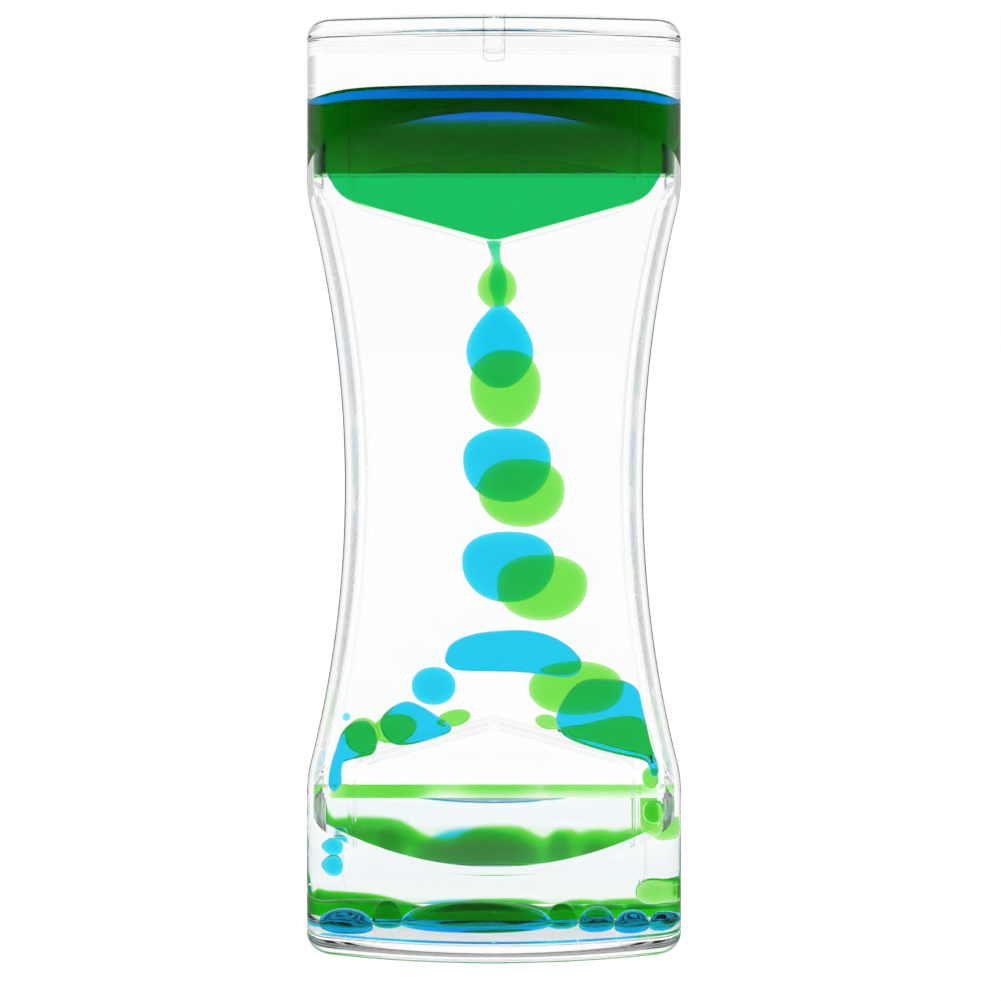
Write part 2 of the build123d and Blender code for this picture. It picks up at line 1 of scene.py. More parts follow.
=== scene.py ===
import bpy
import numpy as np
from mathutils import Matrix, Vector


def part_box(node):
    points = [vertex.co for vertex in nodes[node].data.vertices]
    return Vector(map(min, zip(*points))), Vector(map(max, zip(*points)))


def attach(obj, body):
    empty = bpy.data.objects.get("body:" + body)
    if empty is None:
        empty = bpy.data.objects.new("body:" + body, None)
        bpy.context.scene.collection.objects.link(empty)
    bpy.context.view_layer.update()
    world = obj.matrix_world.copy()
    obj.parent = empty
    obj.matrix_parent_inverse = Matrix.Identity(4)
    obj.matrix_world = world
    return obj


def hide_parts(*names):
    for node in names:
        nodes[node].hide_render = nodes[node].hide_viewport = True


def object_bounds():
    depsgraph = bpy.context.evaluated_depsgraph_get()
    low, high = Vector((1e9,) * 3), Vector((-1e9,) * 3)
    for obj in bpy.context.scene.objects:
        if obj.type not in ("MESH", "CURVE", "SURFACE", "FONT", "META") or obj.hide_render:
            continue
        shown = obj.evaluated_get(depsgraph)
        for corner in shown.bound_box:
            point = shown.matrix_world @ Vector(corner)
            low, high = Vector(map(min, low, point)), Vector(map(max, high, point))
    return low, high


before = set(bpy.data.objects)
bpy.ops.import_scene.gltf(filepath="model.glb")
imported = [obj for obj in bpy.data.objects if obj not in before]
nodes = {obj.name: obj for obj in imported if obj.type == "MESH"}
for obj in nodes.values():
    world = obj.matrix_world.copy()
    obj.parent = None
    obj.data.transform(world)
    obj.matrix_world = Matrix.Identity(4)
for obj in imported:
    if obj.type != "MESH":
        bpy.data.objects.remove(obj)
cadBounds = [list(map(float, corner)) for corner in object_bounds()]
mm = 0.001
mergeSteps = 5000  # steps per millimetre that points are merged on
print("frame loaded with", len(nodes), "nodes")


def nodeBox(name):
    # lowest and highest corner of a node, in millimetres
    low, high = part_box(name)
    return np.array(low) / mm, np.array(high) / mm


caseLow, caseHigh = np.array(cadBounds[0]) / mm, np.array(cadBounds[1]) / mm
height = caseHigh[2]
width = caseHigh[0] - caseLow[0]
depth = caseHigh[1] - caseLow[1]


# mesh making

def signedVolume(points, quads):
    # sum of the tetrahedra between the origin and each half of each quad
    a, b, c, d = (points[quads[:, k]] for k in range(4))
    first = np.einsum("ij,ij->i", a, np.cross(b, c))
    second = np.einsum("ij,ij->i", a, np.cross(c, d))
    return (first.sum() + second.sum()) / 6


def gridQuads(rows, columns, wrapRows=False):
    # columns always close on themselves, rows only when asked
    r = np.arange(rows if wrapRows else rows - 1)[:, None]
    c = np.arange(columns)[None, :]
    nextRow, nextColumn = (r + 1) % rows, (c + 1) % columns
    here, there = r * columns, nextRow * columns
    corners = [here + c, here + nextColumn, there + nextColumn, there + c]
    return np.stack(corners, axis=-1).reshape(-1, 4)


def closedGrid(grid, wrapRows=False):
    # a grid of rows and columns as points and quads that face outwards
    rows, columns = grid.shape[:2]
    points = grid.reshape(-1, 3)
    quads = gridQuads(rows, columns, wrapRows)
    if signedVolume(points, quads) < 0:
        quads = quads[:, ::-1]
    return points, quads


def makePiece(name, parts, material, creaseAngle=30, faceMaterials=None):
    # parts are (points, quads) in millimetres, joined into one smooth mesh with its doubles merged
    offset, allPoints, allQuads = 0, [], []
    for points, quads in parts:
        allPoints.append(points)
        allQuads.append(quads + offset)
        offset += len(points)
    points = np.concatenate(allPoints)
    quads = np.concatenate(allQuads)
    keys = np.round(points * mergeSteps).astype(np.int64)
    _, first, back = np.unique(keys, axis=0, return_index=True, return_inverse=True)
    points, quads = points[first], back.reshape(-1)[quads]
    repeated = quads == np.roll(quads, -1, axis=1)
    whole = repeated.sum(axis=1) < 2
    quads, repeated = quads[whole], repeated[whole]
    mesh = bpy.data.meshes.new(name)
    mesh.from_pydata((points * mm).tolist(), [], joinFaces(quads, repeated))
    materials = material if isinstance(material, list) else [material]
    for entry in materials:
        mesh.materials.append(entry)
    if faceMaterials is not None:
        chosen = faceMaterials[whole]
        order = np.concatenate([chosen[~repeated.any(axis=1)], chosen[repeated.any(axis=1)]])
        mesh.polygons.foreach_set("material_index", order.astype(np.int32))
    mesh.polygons.foreach_set("use_smooth", np.ones(len(mesh.polygons), dtype=bool))
    mesh.set_sharp_from_angle(angle=np.radians(creaseAngle))
    mesh.update()
    piece = bpy.data.objects.new(name, mesh)
    bpy.context.scene.collection.objects.link(piece)
    return piece


def joinFaces(quads, repeated):
    # full quads first, then the triangles left where two corners of a quad met
    hit = repeated.any(axis=1)
    full = quads[~hit].tolist()
    thin = quads[hit]
    triangles = thin[~repeated[hit]].reshape(-1, 3).tolist()
    return full + triangles


def catmullRom(points, count, closed):
    # cubic through the points, each stretch shaped by the chord between its neighbours
    points = np.asarray(points, float)
    total = len(points)
    place = np.linspace(0, total if closed else total - 1, count, endpoint=not closed)
    step = np.minimum(place.astype(int), total - 1 if closed else total - 2)
    t = (place - step)[:, None]
    around = [(step + k) % total if closed else np.clip(step + k, 0, total - 1) for k in (-1, 0, 1, 2)]
    before, here, there, after = (points[k] for k in around)
    return 0.5 * (
        2 * here
        + (there - before) * t
        + (2 * before - 5 * here + 4 * there - after) * t**2
        + (3 * here - before - 3 * there + after) * t**3
    )


def superCircle(count, power):
    # cosine and sine whose powers add up to one, rounder at 2 and squarer above
    angle = np.linspace(0, 2 * np.pi, count, endpoint=False)
    c, s = np.cos(angle), np.sin(angle)
    return np.sign(c) * np.abs(c) ** (2 / power), np.sign(s) * np.abs(s) ** (2 / power)


# materials

usualLook = {
    "gloss": 1.0,  # share of the reflections that is kept
    "waveScale": 60,
    "waveStrength": 0.05,
    "waveHeight": 0.0002,
    "marks": 0.01,
    # painted shade: face is the colour where the surface faces the view, rim the darker colour painted where
    # it turns away
    "rimShadeStart": 0.55,
    "rimShadeEnd": 0.95,
    "face": (1, 1, 1),
    "rim": (0.7, 0.72, 0.72),
    "shade": (0.985, 0.99, 0.99),
}
handling = {"waveDetail": 1, "markScale": 900}


def mouldingWaves():
    # moulding waves and fine handling marks, shared by every clear piece
    group = bpy.data.node_groups.new("mouldWaves", "ShaderNodeTree")
    socket = group.interface.new_socket
    socket("Scale", in_out="INPUT", socket_type="NodeSocketFloat").default_value = usualLook["waveScale"]
    socket("Marks", in_out="INPUT", socket_type="NodeSocketFloat").default_value = usualLook["marks"]
    socket("Height", in_out="OUTPUT", socket_type="NodeSocketFloat")
    socket("Roughness", in_out="OUTPUT", socket_type="NodeSocketFloat")
    add, link = group.nodes.new, group.links.new
    inside, outside = add("NodeGroupInput"), add("NodeGroupOutput")
    place = add("ShaderNodeTexCoord")
    wave = add("ShaderNodeTexNoise")
    wave.inputs["Detail"].default_value = handling["waveDetail"]
    marks = add("ShaderNodeTexNoise")
    marks.inputs["Scale"].default_value = handling["markScale"]
    amount = add("ShaderNodeMath")
    amount.operation = "MULTIPLY"
    link(place.outputs["Object"], wave.inputs["Vector"])
    link(place.outputs["Object"], marks.inputs["Vector"])
    link(inside.outputs["Scale"], wave.inputs["Scale"])
    link(marks.outputs["Fac"], amount.inputs[0])
    link(inside.outputs["Marks"], amount.inputs[1])
    link(wave.outputs["Fac"], outside.inputs["Height"])
    link(amount.outputs[0], outside.inputs["Roughness"])
    return group


mouldWaves = mouldingWaves()


def clearMaterial(name, look):
    # transparent body: refraction from its IOR, painted shade as a darker rim where it turns away from the
    # view, colour from its depth
    look = usualLook | look
    material = bpy.data.materials.new(name)
    material.use_nodes = True
    tree = material.node_tree
    tree.nodes.clear()
    add, link = tree.nodes.new, tree.links.new
    out = add("ShaderNodeOutputMaterial")
    body = add("ShaderNodeBsdfPrincipled")
    body.inputs["IOR"].default_value = look["ior"]
    body.inputs["Transmission Weight"].default_value = 1
    body.inputs["Specular Tint"].default_value = (*[look["gloss"]] * 3, 1)
    waves = add("ShaderNodeGroup")
    waves.node_tree = mouldWaves
    waves.inputs["Scale"].default_value = look["waveScale"]
    waves.inputs["Marks"].default_value = look["marks"]
    bump = add("ShaderNodeBump")
    bump.inputs["Strength"].default_value = look["waveStrength"]
    bump.inputs["Distance"].default_value = look["waveHeight"]
    link(waves.outputs["Height"], bump.inputs["Height"])
    link(bump.outputs["Normal"], body.inputs["Normal"])
    link(waves.outputs["Roughness"], body.inputs["Roughness"])
    # painted shade: the body colour runs from the face colour to the darker rim colour as the surface turns
    # away from the view
    turn = add("ShaderNodeLayerWeight")
    turn.inputs["Blend"].default_value = 0.5  # an even run from facing to turned away
    ramp = add("ShaderNodeValToRGB")
    ramp.color_ramp.interpolation = "EASE"
    first, last = ramp.color_ramp.elements
    first.position, first.color = look["rimShadeStart"], (*look["face"], 1)
    last.position, last.color = look["rimShadeEnd"], (*look["rim"], 1)
    link(turn.outputs["Facing"], ramp.inputs["Fac"])
    link(ramp.outputs["Color"], body.inputs["Base Color"])
    path = add("ShaderNodeLightPath")
    shade = add("ShaderNodeBsdfTransparent")
    shade.inputs["Color"].default_value = (*look["shade"], 1)
    mix = add("ShaderNodeMixShader")
    link(path.outputs["Is Shadow Ray"], mix.inputs[0])
    link(body.outputs[0], mix.inputs[1])
    link(shade.outputs[0], mix.inputs[2])
    link(mix.outputs[0], out.inputs["Surface"])
    if "density" in look:
        depthColour = add("ShaderNodeVolumeAbsorption")
        depthColour.inputs["Color"].default_value = (*look["depthColour"], 1)
        depthColour.inputs["Density"].default_value = look["density"]
        link(depthColour.outputs[0], out.inputs["Volume"])
    return material


# each IOR is that of a skin against what lies next to it: air, oil or water
# painted shade: each rim colour darkens its skin where it turns away from the view
polished = {
    "ior": 1.5,
    "gloss": 0.5,
    "rimShadeStart": 0.5,
    "rimShadeEnd": 0.97,
    "rim": (0.55, 0.57, 0.58),
    "waveScale": 45,
    "waveStrength": 0.04,
}
dryWall = {
    "ior": 1.5,
    "gloss": 0.1,
    "rimShadeStart": 0.5,
    "rimShadeEnd": 0.97,
    "rim": (0.82, 0.84, 0.85),
    "waveStrength": 0.02,
}
wetWall = {
    "ior": 1.03,
    "rimShadeStart": 0.55,
    "rimShadeEnd": 0.98,
    "rim": (0.5, 0.52, 0.53),
    "marks": 0.0,
    "waveStrength": 0.02,
}
insertLook = {"ior": 1.008, "rimShadeStart": 0.7, "rimShadeEnd": 1.0, "rim": (0.75, 0.77, 0.78), "marks": 0.002}
plugLook = {"ior": 1.06, "rimShadeStart": 0.4, "rimShadeEnd": 0.95, "rim": (0.5, 0.52, 0.53), "marks": 0.05}
oilLook = {
    "ior": 1.002,
    "rimShadeStart": 0.8,
    "rimShadeEnd": 1.0,
    "rim": (0.97, 0.98, 0.96),
    "marks": 0.0,
    "waveStrength": 0.0,
}
# painted shade: the liquids' rim colours deepen their colour where the surface turns away from the view
blueLook = {
    "ior": 1.035,
    "rimShadeStart": 0.5,
    "rimShadeEnd": 0.95,
    "face": (0.97, 0.99, 1.0),
    "rim": (0.1, 0.55, 0.85),
    "marks": 0.003,
    "waveStrength": 0.02,
    "shade": (0.35, 0.85, 0.98),
    "depthColour": (0.0, 0.9075, 0.9748),
    "density": 1363,
}
yellowLook = {
    "ior": 1.035,
    "rimShadeStart": 0.5,
    "rimShadeEnd": 0.95,
    "face": (1.0, 1.0, 0.97),
    "rim": (0.4, 0.8, 0.2),
    "marks": 0.003,
    "waveStrength": 0.02,
    "shade": (0.7, 0.95, 0.4),
    "depthColour": (0.3108, 0.9018, 0.0),
    "density": 656.6,
}
settled = {"rim": (1, 1, 1), "face": (1, 1, 1), "shade": (1, 1, 1)}
layerDensity = 1400  # of the settled yellow-green layer
pocketShare, deepShare = 0.65, 1.35  # depth of colour in the upper pocket and in the chamber above it


def stronger(look, share):
    # the same liquid with more or less depth of colour
    return look | {"density": look["density"] * share}


caseClear = clearMaterial("polishedCase", polished)
# the caps get a lighter painted rim shade than the case
capClear = clearMaterial("polishedCap", polished | {"rim": (0.85, 0.87, 0.88)})
wallClear = clearMaterial("wetWall", wetWall)
dryClear = clearMaterial("dryWall", dryWall)
insertClear = clearMaterial("clearInsert", insertLook)
plugClear = clearMaterial("plugPlastic", plugLook)
oilClear = clearMaterial("clearOil", oilLook)
blueWater = clearMaterial("blueWater", blueLook)
yellowWater = clearMaterial("yellowGreenWater", yellowLook)
pocketBlue = clearMaterial("pocketBlueWater", stronger(blueLook, pocketShare))
pocketYellow = clearMaterial("pocketYellowGreenWater", stronger(yellowLook, pocketShare))
deepBlue = clearMaterial("deepBlueWater", stronger(blueLook, deepShare))
deepYellow = clearMaterial("deepYellowGreenWater", stronger(yellowLook, deepShare))
settledWater = clearMaterial("settledBlueWater", blueLook | settled)
settledLayer = clearMaterial("settledYellowGreenWater", yellowLook | settled | {"density": layerDensity})
print("materials ready")


def place(piece, body, slot, *replaced):
    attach(piece, body)
    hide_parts(*replaced)
    return piece


# clear case, channel body and oil

caseShape = {
    "waistWidth": 45.6,
    "shoulderRise": 26.9,  # where the straight side would meet the waist curve
    "shoulderRadius": 20.0,
    "faceRadius": 80.0,
    "edgeRadius": 5.0,
    "rimRadius": 3.0,
    "sideWall": 1.2,
    "faceWall": 1.8,
    "endWall": 3.7,
    "weldGap": 0.01,
    "weldDepth": 0.22,
    "weldMarks": 118,  # round the seam
    "weldShallow": 0.5,  # depth left between two marks, as a share
}
channelShape = {
    "side": 3.0,  # from the outside of the case
    "face": 5.6,  # from the middle of the case
    "wall": 0.8,
    "throatHeight": 23.3,
    "flareHeight": 27.5,
    "angle": 52.0,  # of the widening ends
    "bondFilm": 0.03,
    "dividerFace": 0.78,
}
caseMesh = {
    "dryRows": 50,
    "outerStep": 0.8,
    "rimRows": 14,
    "weldRows": 9,
    "capRows": 8,
    "sheetRows": (12, 6, 40),  # on the channel's slant, its bend and its waist
    "frontPoints": 81,
    "sidePoints": 13,
    "oilEndRows": 4,
}
sectionCounts = (6, 14, 40)  # points on a quarter's side, corner and face
wetRows = 24
caseCrease = 25
endWall = caseShape["endWall"]


def halfWidth(z, inset=0.0):
    # straight ends, a round shoulder and one large waist arc, tangent to each other
    s = caseShape
    middle = height / 2
    rise = middle - s["shoulderRise"]
    sink = (width - s["waistWidth"]) / 2
    arc = (rise**2 + sink**2) / (2 * sink)
    arcCentre = s["waistWidth"] / 2 + arc
    straight = width / 2
    shoulder = s["shoulderRadius"]
    shoulderX = straight - shoulder
    drop = np.sqrt((arc + shoulder) ** 2 - (arcCentre - shoulderX) ** 2)
    away = np.abs(np.asarray(z, float) - middle)
    meet = drop * (arc + inset) / (arc + shoulder)
    waist = arcCentre - np.sqrt((arc + inset) ** 2 - np.minimum(away, arc) ** 2)
    turned = shoulderX + np.sqrt(np.maximum((shoulder - inset) ** 2 - np.minimum(away - drop, 0) ** 2, 0))
    return np.where(away < meet, waist, np.where(away < drop, turned, straight - inset))


def quarterSection(half, inset, corner):
    # straight side, corner arc and curved face, each tangent to the next, from the X axis to the Y axis
    radius = caseShape["faceRadius"] - inset
    back = caseShape["faceRadius"] - depth / 2
    cornerX = half - corner
    cornerY = np.sqrt((radius - corner) ** 2 - cornerX**2) - back
    turn = np.arctan2(cornerY + back, cornerX)
    kind = np.repeat([0, 1, 2], sectionCounts)[None, :]
    u = np.concatenate([np.linspace(0, 1, n, endpoint=k == 2) for k, n in enumerate(sectionCounts)])[None, :]
    sweep = turn + (np.pi / 2 - turn) * u
    bendX = np.where(kind == 1, cornerX + corner * np.cos(turn * u), radius * np.cos(sweep))
    bendY = np.where(kind == 1, cornerY + corner * np.sin(turn * u), radius * np.sin(sweep) - back)
    return np.where(kind == 0, half + 0 * u, bendX), np.where(kind == 0, cornerY * u, bendY)


def fullSection(x, y, z):
    # mirrors a quarter into a closed ring
    z = np.broadcast_to(z, x.shape)
    fx = np.concatenate([x, -x[:, -2::-1], -x[:, 1:], x[:, -2:0:-1]], axis=1)
    fy = np.concatenate([y, y[:, -2::-1], -y[:, 1:], -y[:, -2:0:-1]], axis=1)
    fz = np.concatenate([z, z[:, -2::-1], z[:, 1:], z[:, -2:0:-1]], axis=1)
    return np.stack([fx, fy, fz], axis=-1)


def bothEnds(rows):
    # rows of the lower half, then the same rows mirrored for the upper half
    return np.concatenate([rows, height - rows[-2::-1]])


def spread(first, last, count):
    # rows from one height to another, each column with its own
    share = np.linspace(0, 1, count, endpoint=False)[:, None]
    return first + (last - first) * share


def outerRows(z):
    # rim rounding draws the section in near both ends
    rim = caseShape["rimRadius"]
    toEnd = np.clip(np.minimum(z, height - z), 0, rim)[:, None]
    inset = rim - np.sqrt(np.maximum(rim**2 - (rim - toEnd) ** 2, 0))
    x, y = quarterSection(halfWidth(z)[:, None] - inset, inset, caseShape["edgeRadius"] - inset)
    return fullSection(x, y, z[:, None])


slope = np.tan(np.radians(channelShape["angle"]))
slant = 1 / np.sin(np.radians(channelShape["angle"]))


def contactHeight(x, y, inset=0.0):
    # where the slanted ends of the channel meet the shell at x, y
    c = channelShape
    front = c["throatHeight"] - (y - c["face"] + inset * slant) * slope
    side = c["flareHeight"] - (np.abs(x) - (width / 2 - c["side"]) + inset * slant) * slope
    atSide = c["flareHeight"] - (c["side"] - caseShape["sideWall"] + inset * slant) * slope
    return np.minimum(np.minimum(front, np.maximum(side, atSide)), atSide)


def innerRows():
    # inside of the shell, with rows that follow the edge of the wetted ends
    wall, corner = caseShape["faceWall"], caseShape["edgeRadius"] - caseShape["sideWall"]
    x, y = quarterSection(np.array([[width / 2 - caseShape["sideWall"]]]), wall, corner)
    contact = contactHeight(x, y)
    wet = spread(endWall + 0 * contact, contact, wetRows)
    dry = spread(contact, height / 2, caseMesh["dryRows"])
    z = bothEnds(np.concatenate([wet, dry, np.full_like(contact, height / 2)]))
    x, y = quarterSection(halfWidth(z, caseShape["sideWall"]), wall, corner)
    return fullSection(x, y, z)


def toCentre(ring, count, centre=(0.0, 0.0)):
    # flat face: the ring drawn in to a point
    share = np.linspace(1, 0, count)[1:, None, None]
    middle = np.array([centre[0], centre[1], ring[0, 2]])
    return middle + (ring[None] - middle) * share


tubeZ = bothEnds(np.append(np.arange(endWall, height / 2, caseMesh["outerStep"]), height / 2))
outerSkin, innerSkin = outerRows(tubeZ), innerRows()
tube = np.concatenate([outerSkin, innerSkin[::-1]])
tubePoints, tubeQuads = closedGrid(tube, wrapRows=True)
columns = tube.shape[1]
strip = np.arange(len(tube))
firstInner = len(outerSkin) - 1
inWet = (strip >= firstInner) & (strip <= firstInner + wetRows) | (strip >= len(tube) - 1 - wetRows)
caseFaces = np.where(inWet, 1, np.where(strip > firstInner, 2, 0))
case = makePiece(
    "clearCase",
    [(tubePoints, tubeQuads)],
    [caseClear, wallClear, dryClear],
    caseCrease,
    np.repeat(caseFaces, columns),
)
place(case, "timer", "clear_case", "case")

rimTurn = np.linspace(0, np.pi / 2, caseMesh["rimRows"])
rimZ = caseShape["rimRadius"] * (1 - np.cos(rimTurn))
weldZ = np.linspace(caseShape["rimRadius"], endWall - caseShape["weldGap"], caseMesh["weldRows"])
capZ = np.concatenate([rimZ[:-1], weldZ])
capSkin = outerRows(capZ)
# the seam: a shallow round groove broken into short dashes
around = np.linspace(0, 2 * np.pi, capSkin.shape[1], endpoint=False)[None, :]
shallow = caseShape["weldShallow"]
dash = (1 + shallow) / 2 + (1 - shallow) / 2 * np.cos(caseShape["weldMarks"] * around)
groove = np.sin(np.pi * np.clip((capZ - weldZ[0]) / (weldZ[-1] - weldZ[0]), 0, 1))[:, None]
weld = (caseShape["weldDepth"] * groove * dash)[..., None]
capSkin[..., :2] *= 1 - weld / np.linalg.norm(capSkin[..., :2], axis=-1, keepdims=True)
capFoot = toCentre(capSkin[0], caseMesh["capRows"])[::-1]
capTop = toCentre(capSkin[-1], caseMesh["capRows"])
capGrid = np.concatenate([capFoot, capSkin, capTop])
capPoints, capQuads = closedGrid(capGrid)
capStrip = np.repeat(np.arange(len(capGrid) - 1), columns)
capWet = (capStrip >= len(capFoot) + len(capSkin) - 1).astype(int)
footFlat = (capStrip < len(capFoot)).astype(int)  # rests on the table, no gap under it
footFaces = np.maximum(capWet, footFlat)
bottomCap = makePiece("bottomCap", [(capPoints, capQuads)], [capClear, wallClear], caseCrease, footFaces)
place(bottomCap, "timer", "clear_case", "bottom_cap")
upPoints, upQuads = closedGrid(capGrid * [1, 1, -1] + [0, 0, height])
topCap = makePiece("topCap", [(upPoints, upQuads)], [capClear, dryClear], caseCrease, capWet)
place(topCap, "timer", "clear_case", "top_cap")
print("case and caps made")


def shellFace(x, half, inset):
    # depth of the shell at x: its curved face, then the arc of its corner
    corner = caseShape["edgeRadius"] - caseShape["sideWall"]
    radius = caseShape["faceRadius"] - inset
    back = caseShape["faceRadius"] - depth / 2
    cornerX = half - corner
    cornerY = np.sqrt((radius - corner) ** 2 - cornerX**2) - back
    x = np.abs(x)
    face = np.sqrt(radius**2 - x**2) - back
    bend = cornerY + np.sqrt(np.maximum(corner**2 - np.maximum(x - cornerX, 0) ** 2, 0))
    return np.where(x < cornerX * radius / (radius - corner), face, bend)


def skinGap(inset):
    # how far a skin of the channel space keeps from the shell
    return channelShape["bondFilm"] + max(inset, 0)


def channelHalf(z, inset):
    # half width of the channel space: waisted middle, then flared out to the shell
    c = channelShape
    toEnd = np.minimum(z, height - z)
    flared = width / 2 - c["side"] + (c["flareHeight"] - toEnd) / slope - inset * slant
    shell = halfWidth(z, caseShape["sideWall"]) - skinGap(inset)
    return np.minimum(np.maximum(halfWidth(z, c["side"] + inset), flared), shell)


def channelDepth(x, z, inset):
    # its depth at x: thin middle, slanted throats, then the shell's own face at the ends
    c = channelShape
    toEnd = np.minimum(z, height - z)
    throatFace = c["face"] + (c["throatHeight"] - toEnd) / slope - inset * slant
    gap = skinGap(inset)
    shell = shellFace(x, halfWidth(z, caseShape["sideWall"]) - gap, caseShape["faceWall"] + gap)
    return np.minimum(np.maximum(c["face"] - inset, throatFace), shell)


def endContact(across, inset):
    # height at which the slanted throat meets the shell, for each column
    gap = skinGap(inset)
    endHalf = width / 2 - caseShape["sideWall"] - gap
    endX = across[None, :] * endHalf
    endY = shellFace(endX, endHalf, caseShape["faceWall"] + gap)
    return contactHeight(endX, endY, inset)


def channelSheet(across, inset, toFloor):
    # front of the channel space, with rows along its creases
    contact = endContact(across, inset)
    bend = inset * (slant - 1) * slope
    throat, flare = channelShape["throatHeight"] - bend, channelShape["flareHeight"] - bend
    rows = [spread(endWall + channelShape["bondFilm"] + 0 * contact, contact, wetRows)] if toFloor else []
    slantRows, bendRows, waistRows = caseMesh["sheetRows"]
    rows += [spread(contact, throat, slantRows), spread(throat + 0 * contact, flare, bendRows)]
    rows += [spread(flare + 0 * contact, height / 2, waistRows), np.full_like(contact, height / 2)]
    z = bothEnds(np.concatenate(rows))
    x = across[None, :] * channelHalf(z, inset)
    return x, channelDepth(x, z, inset), z


acrossFront = np.sin(np.linspace(-np.pi / 2, np.pi / 2, caseMesh["frontPoints"]))


def channelRing(inset):
    # one skin of the channel body: front, right side, back and left side
    x, y, z = channelSheet(acrossFront, inset, False)
    along = np.linspace(-1, 1, caseMesh["sidePoints"])[1:-1][None, :]
    sideX, sideY, sideZ = x[:, -1:] + 0 * along, y[:, -1:] * along, z[:, -1:] + 0 * along
    ringX = np.concatenate([x, sideX, x[:, ::-1], -sideX], axis=1)
    ringY = np.concatenate([-y, sideY, y[:, ::-1], -sideY], axis=1)
    ringZ = np.concatenate([z, sideZ, z[:, ::-1], sideZ], axis=1)
    return np.stack([ringX, ringY, ringZ], axis=-1)


wetSkin, drySkin = channelRing(0.0), channelRing(-channelShape["wall"])
bodyGrid = np.concatenate([drySkin, wetSkin[::-1]])
bodyStrip = np.arange(len(bodyGrid))
bodyFaces = np.where(bodyStrip < len(drySkin) - 1, 1, 0)
channelBody = makePiece(
    "channelBody",
    [closedGrid(bodyGrid, wrapRows=True)],
    [wallClear, dryClear],
    caseCrease,
    np.repeat(bodyFaces, bodyGrid.shape[1]),
)
place(channelBody, "timer", "clear_insert", "channel_body")


def toDivider(x, y, z, film, side):
    # a front sheet closed by its flat copy at the divider
    loopX = np.concatenate([x, x[:, ::-1]], axis=1)
    loopY = np.concatenate([y, np.full_like(y, channelShape["dividerFace"] + film)], axis=1) * side
    return np.stack([loopX, loopY, np.concatenate([z, z[:, ::-1]], axis=1)], axis=-1)


def oilBody(side):
    # one chamber's space, from the divider to its front, a hair inside them
    grid = toDivider(*channelSheet(acrossFront, channelShape["bondFilm"], True), 0, side)
    rows, centre = caseMesh["oilEndRows"], (0, side * channelShape["face"] / 2)
    return np.concatenate([toCentre(grid[0], rows, centre)[::-1], grid, toCentre(grid[-1], rows, centre)])


for name, node, side in (("frontOil", "front_oil", -1), ("rearOil", "rear_oil", 1)):
    oil = makePiece(name, [closedGrid(oilBody(side))], oilClear, caseCrease)
    place(oil, "timer", "clear_oil", node)
print("channel body and oil made")


# flat drops in the channels

flatLook = {"rimRows": 25, "faceRows": 10}


def flatDrop(outline, yLow, yHigh, rim, bulge, spine=None):
    # an outline swept round an elliptic rim
    # two gently domed faces close it, from its spine or its middle outwards
    ahead = np.roll(outline, -1, axis=0) - np.roll(outline, 1, axis=0)
    normal = np.stack([ahead[:, 1], -ahead[:, 0]], axis=1)
    normal /= np.linalg.norm(normal, axis=1, keepdims=True)
    area = np.sum(outline[:, 0] * np.roll(outline[:, 1], -1) - outline[:, 1] * np.roll(outline[:, 0], -1))
    normal *= np.sign(area)
    middle, half = (yLow + yHigh) / 2, (yHigh - yLow) / 2
    swing = np.linspace(-np.pi / 2, np.pi / 2, flatLook["rimRows"])[:, None, None]
    rimXz = outline[None] - normal[None] * rim * (1 - np.cos(swing))
    rimY = np.broadcast_to(middle + (half - bulge) * np.sin(swing), rimXz.shape[:2] + (1,))
    share = np.linspace(0, 1, flatLook["faceRows"], endpoint=False)[:, None, None]
    centre = outline.mean(axis=0) if spine is None else spine
    faceXz = centre + (rimXz[0][None] - centre) * share
    dome = (half - bulge) + bulge * (1 - share**2)
    faceY = np.broadcast_to(dome, faceXz.shape[:2] + (1,))
    xz = np.concatenate([faceXz, rimXz, faceXz[::-1]])
    y = np.concatenate([middle - faceY, rimY, middle + faceY[::-1]])
    return np.concatenate([xz[..., :1], y, xz[..., 1:]], axis=-1)


ovalShapes = {
    # node: height of the widest line as a share, squareness above and below, lean of the foot
    "blue_drop_2": (0.57, 2.35, 2.1, 0.03),
    "blue_drop_3": (0.58, 2.35, 2.1, 0.0),
    "blue_small_drop": (0.5, 2.1, 2.1, 0.0),
    "yellow_drop_1": (0.54, 2.2, 2.05, 0.04),
    "yellow_drop_2": (0.54, 2.25, 2.1, 0.03),
    "yellow_drop_3": (0.56, 2.3, 2.1, 0.0),
    "yellow_drop_4": (0.5, 2.2, 2.2, 0.0),
}
ovalLook = {"rim": 1.5, "bulge": 0.15, "points": 96}
movingDrops = {"blue_drop_2", "blue_drop_3", "yellow_drop_1", "yellow_drop_2", "yellow_drop_3"}


def sideOf(node):
    # blue lies in front of the divider, yellow-green behind it
    return -1 if node.startswith("blue") else 1


def waterOf(node):
    if node.startswith("blue"):
        return blueWater, "blue_water"
    return yellowWater, "yellow_green_water"


def pieceName(node):
    first, *rest = node.split("_")
    return first + "".join(word.capitalize() for word in rest)


def ovalOutline(low, high, widest, above, below, lean):
    # super-ellipse with its own height above and below the widest line
    x, z = superCircle(ovalLook["points"], above)
    lowX, lowZ = superCircle(ovalLook["points"], below)
    upper = z >= 0
    tall = high[2] - low[2]
    line = low[2] + widest * tall
    half = (high[0] - low[0]) / 2
    px = np.where(upper, x, lowX)
    pz = np.where(upper, z * (1 - widest), lowZ * widest)
    px = (low[0] + high[0]) / 2 + half * (px + lean * np.minimum(pz, 0) * -2 * (1 - np.abs(px)))
    return np.stack([px, line + tall * pz], axis=1)


